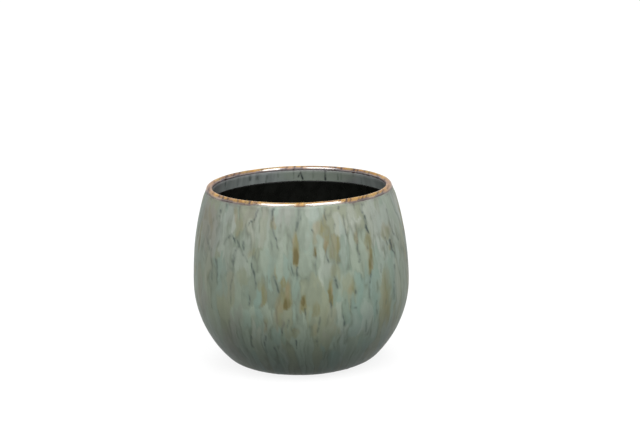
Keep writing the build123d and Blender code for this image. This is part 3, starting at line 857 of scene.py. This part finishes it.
def outer_glaze():
    """The reactive glaze: thick and runny outside, and feathered out where it creeps up to the lip."""
    angle = azimuths(OUTER_COLUMNS)
    top_angle = shoulder_angle(TOP_GLAZE, LIP_BREAK_DEPTH - GLAZE_CREEP)
    rows = outside_rows(TOP_GLAZE, top_angle, OUTER_SPACING)
    inner = outside_rows(TOP_GLAZE, top_angle, HIDDEN_SPACING)[::-1]
    turn, height = spread_out(rows, angle)
    along = way_down(rows)
    thrown = runny_noise(3, turn, height, 80, 26) - 0.5
    runs = layered_noise(23, turn, height, 5, 26) - 0.5
    dimples = runny_noise(5, turn, height, 6, 7) - 0.5
    thickness = TOP_GLAZE + 0.30 * thrown + 0.10 * runs + 0.06 * dimples
    edge = 0.4 + runny_noise(41, turn, height * 0, 5, 40)
    thickness = FILM + (thickness - FILM) * smooth(along / (EDGE_FEATHER * edge + 2.0))
    points = lifted(rows, angle, thickness)
    colour = glaze_paint(points, turn, height)
    fray = smooth(1.1 - along / (FRAY_REACH * edge)) * (0.20 + 0.80 * runny_noise(45, turn, height, 4, 30))
    colour = mix(colour, PLUM, fray * (1 - patch_cover(*photo_pixels(points), LIP_CLEAR)))
    back = lifted(inner, angle, np.zeros((len(inner), len(angle))))
    shares = np.concatenate((row_lengths(rows)[:-1], np.full(len(inner) + 1, HIDDEN_SHARE)))
    mesh = wrap_mesh("outer_glaze", np.concatenate((points, back)), shares)
    paint(mesh, np.concatenate((colour, np.broadcast_to(DEEP_CELADON, back.shape))), 0.5)
    material = painted_glaze("reactive_glaze", (0.58, 0.38), (0.12, 0.28), 1.5, 0.06)
    add_piece("outer_glaze", mesh, material, ("outer_top_glaze",))


LIP_COLUMNS = 1000
LIP_SPACING = 0.3
LIP_SKIRT_SPACING = 0.8
LIP_INSIDE_SPACING = 1.0
LIP_CORE_SPACING = 1.2
LIP_START = 3.0
LIP_WAVE = 0.22
LIP_RIPPLE = 0.10
LIP_WAVE_REACH = 7.0
TICK_LEAN = 0.6
TICK_WIDENING = 1.4
TICK_REACH = 1.6
AMBER_DEPTH = 1.5
INNER_AMBER_DEPTH = 0.8
RUSSET_DEPTH = 0.9
TICK_WIDTH = 6.5
TICK_SLANT = 1.3


def lip_paint(points, turn, height):
    """Amber on the crown, ticked with brown, turning russet and plum where the top glaze begins.

    Gives the colours and the gloss, which goes with the amber.
    """
    shade = layered_noise(67, turn, height, 6, 5)
    patch = layered_noise(69, turn, height * 0, 9, 40)
    fleck = layered_noise(63, turn, height, 1.8, 2)
    reach = layered_noise(65, turn, height * 0, 7, 40)
    depth = POT_HEIGHT - height
    slanted_turn = turn - TICK_SLANT * depth / BELLY_RADIUS
    _, _, border, _, _ = run_cells(61, slanted_turn, height * 0, TICK_WIDTH, 400, 16)
    x, y = photo_pixels(points)
    slanted = tuple(
        (
            TICK_WIDENING * width,
            strength,
            (px - TICK_LEAN, py + TICK_REACH),
            (px + TICK_LEAN, py - TICK_REACH),
        )
        for px, py, width, strength in LIP_TICKS
    )
    inside = smooth(0.5 + (LIP_CENTRE[0] - np.hypot(points[..., 0], points[..., 1])) / 2)
    limit = AMBER_DEPTH + (INNER_AMBER_DEPTH - AMBER_DEPTH) * inside + 1.0 * (reach - 0.5)
    fading = smooth((depth - limit) / 0.6)
    ending = smooth((depth - limit - RUSSET_DEPTH) / 0.7)
    colour = mix(AMBER, LIGHT_AMBER, 0.1 + 0.8 * shade)
    colour = mix(colour, TAN, 0.5 * smooth((patch - 0.66) / 0.15))
    colour = mix(colour, MAUVE, 0.40 * smooth((0.22 - patch) / 0.15))
    colour = mix(colour, MAUVE, patch_cover(x, y, LIP_MAUVE))
    colour = mix(colour, BROWN_AMBER, 0.15 * smooth((fleck - 0.70) / 0.2))
    clear = 0.85 * patch_cover(x, y, LIP_CLEAR)
    beyond = mix(mix(PLUM, PALE_CELADON, clear), VIOLET, 0.8 * inside)
    colour = mix(mix(colour, mix(RUSSET, MAUVE, inside), fading), beyond, ending)
    colour = mix(colour, BROWN_AMBER, 0.4 * smooth(1 - border / 0.07) * smooth((fleck - 0.40) / 0.3))
    colour = mix(colour, BROWN_AMBER, vein_cover(x, y, slanted) * (0.75 + 0.6 * fleck))
    dull = patch_cover(x, y, LIP_DULL)
    return colour, (1 - 0.1 * fading - 0.9 * ending) * (1 - dull)


def lip_glaze():
    """The iron base glaze: amber where it shows on the lip, and a thin coat under the others."""
    angle = azimuths(LIP_COLUMNS)
    start, collar_angle = LIP_ANGLE - LIP_START, shoulder_angle(BASE_INSIDE, COLLAR_DEPTH)
    over = LIP_RADIUS + BASE_GLAZE
    outside = outside_rows(TOP_GLAZE, start, HIDDEN_SPACING)[::-1]
    shown = np.concatenate((
        arc_rows(SHOULDER_CENTRE, SHOULDER_RADIUS - TOP_GLAZE, start, LIP_ANGLE, LIP_SKIRT_SPACING)[1:],
        arc_rows(LIP_CENTRE, over, LIP_ANGLE, LIP_ANGLE + 180, LIP_SPACING),
        arc_rows(
            SHOULDER_CENTRE, SHOULDER_RADIUS - BASE_INSIDE, LIP_ANGLE, collar_angle, LIP_INSIDE_SPACING,
            whole=True,
        ),
    ))
    hidden = np.concatenate((
        arc_rows(
            SHOULDER_CENTRE, SHOULDER_RADIUS - CLAY_INSIDE, collar_angle, LIP_ANGLE, COLLAR_BACK_SPACING,
        ),
        arc_rows(LIP_CENTRE, LIP_RADIUS, LIP_ANGLE + 180, LIP_ANGLE, LIP_CORE_SPACING),
        outside_rows(CLAY_OUTSIDE, LIP_ANGLE, HIDDEN_SPACING),
    ))
    rows = np.concatenate((outside, shown, hidden))
    turn, height = spread_out(rows, angle)
    waves = LIP_WAVE * (runny_noise(51, turn, height, 22, 30) - 0.5)
    waves = waves + LIP_RIPPLE * (runny_noise(53, turn, height, 7, 9) - 0.5)
    waves = waves * smooth((height - (POT_HEIGHT - LIP_WAVE_REACH)) / 2)
    waves[len(outside) + len(shown):] = 0
    points = lifted(rows, angle, waves)
    shares = np.full(len(rows), HIDDEN_SHARE)
    shares[len(outside):len(outside) + len(shown)] = 4 * row_lengths(shown)
    mesh = wrap_mesh("lip_glaze", points, shares)
    paint(mesh, *lip_paint(points, turn, height))
    material = painted_glaze("amber_glaze", (0.50, 0.14), (0.10, 1.0), 2.15, 0.06)
    add_piece("lip_glaze", mesh, material, ("base_glaze",))


COLLAR_COLUMNS = 1200
COLLAR_SPACING = 0.7
COLLAR_FEATHER = 2.0
COLLAR_EDGE_REACH = 3.0
STREAK_DEPTH = 1.2
HOLD = 0.06


def collar_glaze():
    """The reactive glaze inside the mouth, down to the lining's straight edge."""
    angle = azimuths(COLLAR_COLUMNS)
    top = shoulder_angle(COLLAR_INSIDE, COLLAR_BREAK_DEPTH)
    bottom = shoulder_angle(BASE_INSIDE, COLLAR_DEPTH)
    hold = math.degrees(HOLD / SHOULDER_RADIUS)
    radius = SHOULDER_RADIUS - BASE_INSIDE
    face = np.concatenate((
        arc_rows(SHOULDER_CENTRE, radius, top, bottom + hold, COLLAR_SPACING),
        arc_rows(SHOULDER_CENTRE, radius, bottom + hold, bottom, HOLD, whole=True),
    ))
    back = np.concatenate((
        arc_rows(SHOULDER_CENTRE, radius, bottom, bottom + hold, HOLD),
        arc_rows(SHOULDER_CENTRE, radius, bottom + hold, top, COLLAR_BACK_SPACING),
    ))
    rows = np.concatenate((face, back))
    turn, height = spread_out(rows, angle)
    along = way_down(face)
    swell = 0.12 * (runny_noise(75, turn, height, 12, 20) - 0.5)[: len(face)]
    lift = np.zeros(height.shape)
    lift[: len(face)] = -(FILM + (COLLAR_GLAZE - FILM + swell) * smooth(along / COLLAR_FEATHER))
    points = lifted(rows, angle, lift)
    streak = layered_noise(71, turn, height, 7, 30)
    hair = layered_noise(77, turn, height, 2.2, 16)
    x, y = photo_pixels(points)
    colour = COLLAR_GREY * (0.85 + 0.22 * streak + 0.14 * hair)[..., None]
    colour = mix(colour, VIOLET, 0.5 * smooth((runny_noise(79, turn, height, 28, 30) - 0.5) / 0.3))
    colour = mix(colour, PALE_CELADON, patch_cover(x, y, COLLAR_PALE))
    broken = 0.4 + layered_noise(85, turn, height, 1.6, 3)
    streaked = STREAK_DEPTH * broken * vein_cover(x + 0.8 * (hair - 0.5), y, COLLAR_STREAKS)
    colour = mix(colour, COLLAR_VEIN, streaked)
    edge = 0.55 * smooth(1 - along / COLLAR_EDGE_REACH) * np.ones(len(angle))
    colour[: len(face)] = mix(colour[: len(face)], VIOLET, edge)
    shares = np.concatenate((row_lengths(face)[:-1], np.full(len(back) + 1, HIDDEN_SHARE / 3)))
    mesh = wrap_mesh("collar_glaze", points, shares)
    paint(mesh, colour, 0.5)
    material = painted_glaze("collar_glaze", (0.50, 0.32), (0.2, 0.4), 1.5, 0.06)
    add_piece("collar_glaze", mesh, material, ("collar_top_glaze",))


LINING_COLUMNS = 288
LINING_SPACING = 2.0
LINING_BACK_SPACING = 12.0
LINING_SWELL = 0.10
POLE = 0.4


def lining_glaze():
    """The black lining, from the collar down the wall and over the floor."""
    angle = azimuths(LINING_COLUMNS)
    top = shoulder_angle(BASE_INSIDE, COLLAR_DEPTH)
    face = inside_rows(LINER_INSIDE, top, FLOOR_ROUNDING - LINER_GLAZE, LINING_SPACING)
    back = inside_rows(CLAY_INSIDE, top, FLOOR_ROUNDING, LINING_BACK_SPACING)
    middle = np.array(((POLE, *face[-1, 1:]), (POLE, *back[-1, 1:])))
    rows = np.concatenate((face, middle, back[::-1]))
    turn, height = spread_out(rows, angle)
    lift = LINING_SWELL * (runny_noise(81, turn, height, 30, 14) - 0.5)
    lift[len(face):] = 0
    points = lifted(rows, angle, lift)
    shares = np.full(len(rows), HIDDEN_SHARE)
    shares[: len(face)] = row_lengths(np.concatenate((face, middle[:1])))[: len(face)]
    mesh = wrap_mesh("lining_glaze", points, shares)
    add_piece("lining_glaze", mesh, lining_material(), ("liner_glaze",))


PAD_COLUMNS = 48
PAD_SECTION = (
    (0.02, 1.0), (0.55, 1.0), (0.90, 1.0), (0.97, 0.96), (1.0, 0.82), (1.0, 0.55),
    (0.99, 0.30), (0.955, 0.09), (0.90, 0.0), (0.55, 0.0), (0.02, 0.0),
)
PAD_FUZZ = 0.012


def felt_pad(number, material):
    """A felt disc with a soft, fuzzy edge, flat where it stands and where it sticks."""
    node = f"felt_pad_{number}"
    low, high = (np.array(corner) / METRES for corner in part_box(node))
    middle = (low + high) / 2
    section = np.array(PAD_SECTION)
    angle = azimuths(PAD_COLUMNS)
    rng = np.random.default_rng(90 + number)
    reach = np.repeat(section[:, :1], PAD_COLUMNS, axis=1)
    fuzz = 1 + PAD_FUZZ * rng.standard_normal(reach.shape)
    reach = np.where(reach > 0.9, np.minimum(reach * fuzz, 1.0), reach)
    radius = reach * (high[0] - low[0]) / 2
    height = np.repeat(section[:, 1:], PAD_COLUMNS, axis=1) * (high[2] - low[2])
    points = turned(radius, height, np.broadcast_to(angle, radius.shape))
    points = points + np.array((middle[0], middle[1], low[2]))
    mesh = wrap_mesh(node + "_felt", points, row_lengths(section))
    add_piece(node + "_felt", mesh, material, (node,))


# Studio: a pale floor, two soft boxes beside the camera, one behind, and a dim surround with a pale backdrop

FLOOR_HALF = 12000.0
BOX_DISTANCE = 2000.0
BOX_ELEVATION = 48.0
BOX_AZIMUTH = 33.0
BOX_WIDTH = 1300.0
BOX_HEIGHT = 1650.0
LEFT_RADIANCE = 4.6
RIGHT_RADIANCE = 6.05
BACK_RADIANCE = 4.4
SURROUND = 0.18
BACKDROP_FULL = 0.10
BACKDROP_END = 0.45
OVERHEAD = 0.22
FLOOR_BOUNCE = 0.05
FLOOR_SHADE = 0.14
FLOOR_GLOW = 0.86
GLOW_NEAR = 700.0
GLOW_FAR = 1800.0


def add_softbox(name, turn, radiance):
    """A rectangular soft box aimed at the pot, turned round it from the camera's side."""
    azimuth, rise = math.radians(turn), math.radians(BOX_ELEVATION)
    level = math.cos(rise)
    away = np.array((math.sin(azimuth) * level, -math.cos(azimuth) * level, math.sin(rise)))
    middle = np.array((0.0, 0.0, POT_HEIGHT / 2))
    lamp = bpy.data.lights.new(name, "AREA")
    lamp.shape = "RECTANGLE"
    lamp.size = BOX_WIDTH * METRES
    lamp.size_y = BOX_HEIGHT * METRES
    lamp.energy = radiance * math.pi * lamp.size * lamp.size_y
    box = bpy.data.objects.new(name, lamp)
    box.location = Vector((middle + away * BOX_DISTANCE) * METRES)
    box.rotation_euler = Vector(away).to_track_quat("Z", "Y").to_euler()
    scene.collection.objects.link(box)
    return box


def matt(nodes, shade):
    surface = nodes.new("ShaderNodeBsdfDiffuse")
    surface.inputs["Color"].default_value = (shade, shade, shade, 1)
    return surface.outputs["BSDF"]


def seen_directly(nodes, links):
    """1 for what the camera sees, also in a reflection or through glass, and 0 for the light it gives."""
    path = nodes.new("ShaderNodeLightPath")
    seen = path.outputs["Is Camera Ray"]
    for ray in ("Is Glossy Ray", "Is Transmission Ray"):
        either = nodes.new("ShaderNodeMath")
        either.operation = "MAXIMUM"
        links.new(seen, either.inputs[0])
        links.new(path.outputs[ray], either.inputs[1])
        seen = either.outputs["Value"]
    return seen


def floor_material():
    """Pale to the camera and in reflections, with the pot's shadow, and dim in the light it returns.

    Far off, where the soft boxes don't reach, it glows white.
    """
    material = bpy.data.materials.new("studio_floor")
    material.use_nodes = True
    nodes, links = material.node_tree.nodes, material.node_tree.links
    nodes.clear()
    place = nodes.new("ShaderNodeNewGeometry")
    away = nodes.new("ShaderNodeVectorMath")
    away.operation = "LENGTH"
    links.new(place.outputs["Position"], away.inputs[0])
    near, far = GLOW_NEAR * METRES, GLOW_FAR * METRES
    strength = ranged(nodes, links, away.outputs["Value"], near, far, FLOOR_GLOW, 1.0)
    glow = nodes.new("ShaderNodeEmission")
    links.new(strength, glow.inputs["Strength"])
    pale = nodes.new("ShaderNodeAddShader")
    links.new(matt(nodes, FLOOR_SHADE), pale.inputs[0])
    links.new(glow.outputs["Emission"], pale.inputs[1])
    choice = nodes.new("ShaderNodeMixShader")
    links.new(seen_directly(nodes, links), choice.inputs["Fac"])
    links.new(matt(nodes, FLOOR_BOUNCE), choice.inputs[1])
    links.new(pale.outputs["Shader"], choice.inputs[2])
    output = nodes.new("ShaderNodeOutputMaterial")
    links.new(choice.outputs["Shader"], output.inputs["Surface"])
    return material


def add_surround():
    """Dim light from all round, in front of which a pale backdrop is seen."""
    world = bpy.data.worlds.new("surround")
    world.use_nodes = True
    nodes, links = world.node_tree.nodes, world.node_tree.links
    place = nodes.new("ShaderNodeTexCoord")
    split = nodes.new("ShaderNodeSeparateXYZ")
    links.new(place.outputs["Generated"], split.inputs["Vector"])
    backdrop = ranged(nodes, links, split.outputs["Z"], BACKDROP_FULL, BACKDROP_END, 1.0, OVERHEAD)
    shown = nodes.new("ShaderNodeMath")
    shown.operation = "MULTIPLY"
    links.new(seen_directly(nodes, links), shown.inputs[0])
    links.new(backdrop, shown.inputs[1])
    level = nodes.new("ShaderNodeMath")
    level.operation = "MAXIMUM"
    links.new(shown.outputs["Value"], level.inputs[0])
    level.inputs[1].default_value = SURROUND
    background = nodes["Background"]
    background.inputs["Color"].default_value = (1, 1, 1, 1)
    links.new(level.outputs["Value"], background.inputs["Strength"])
    scene.world = world


def add_studio():
    half = FLOOR_HALF * METRES
    mesh = bpy.data.meshes.new("floor")
    corners = ((-half, -half, 0), (half, -half, 0), (half, half, 0), (-half, half, 0))
    mesh.from_pydata(corners, [], [(0, 1, 2, 3)])
    floor = bpy.data.objects.new("floor", mesh)
    mesh.materials.append(floor_material())
    scene.collection.objects.link(floor)
    add_softbox("softbox_left", -BOX_AZIMUTH, LEFT_RADIANCE)
    add_softbox("softbox_right", BOX_AZIMUTH, RIGHT_RADIANCE)
    back = add_softbox("softbox_back", 180, BACK_RADIANCE)
    back.visible_glossy = False
    add_surround()


outer_glaze()
lip_glaze()
collar_glaze()
lining_glaze()
felt = felt_material()
for number in range(1, 5):
    felt_pad(number, felt)
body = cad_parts["stoneware_body"]
body.data.materials.clear()
body.data.materials.append(clay_material())
add_camera()
add_studio()
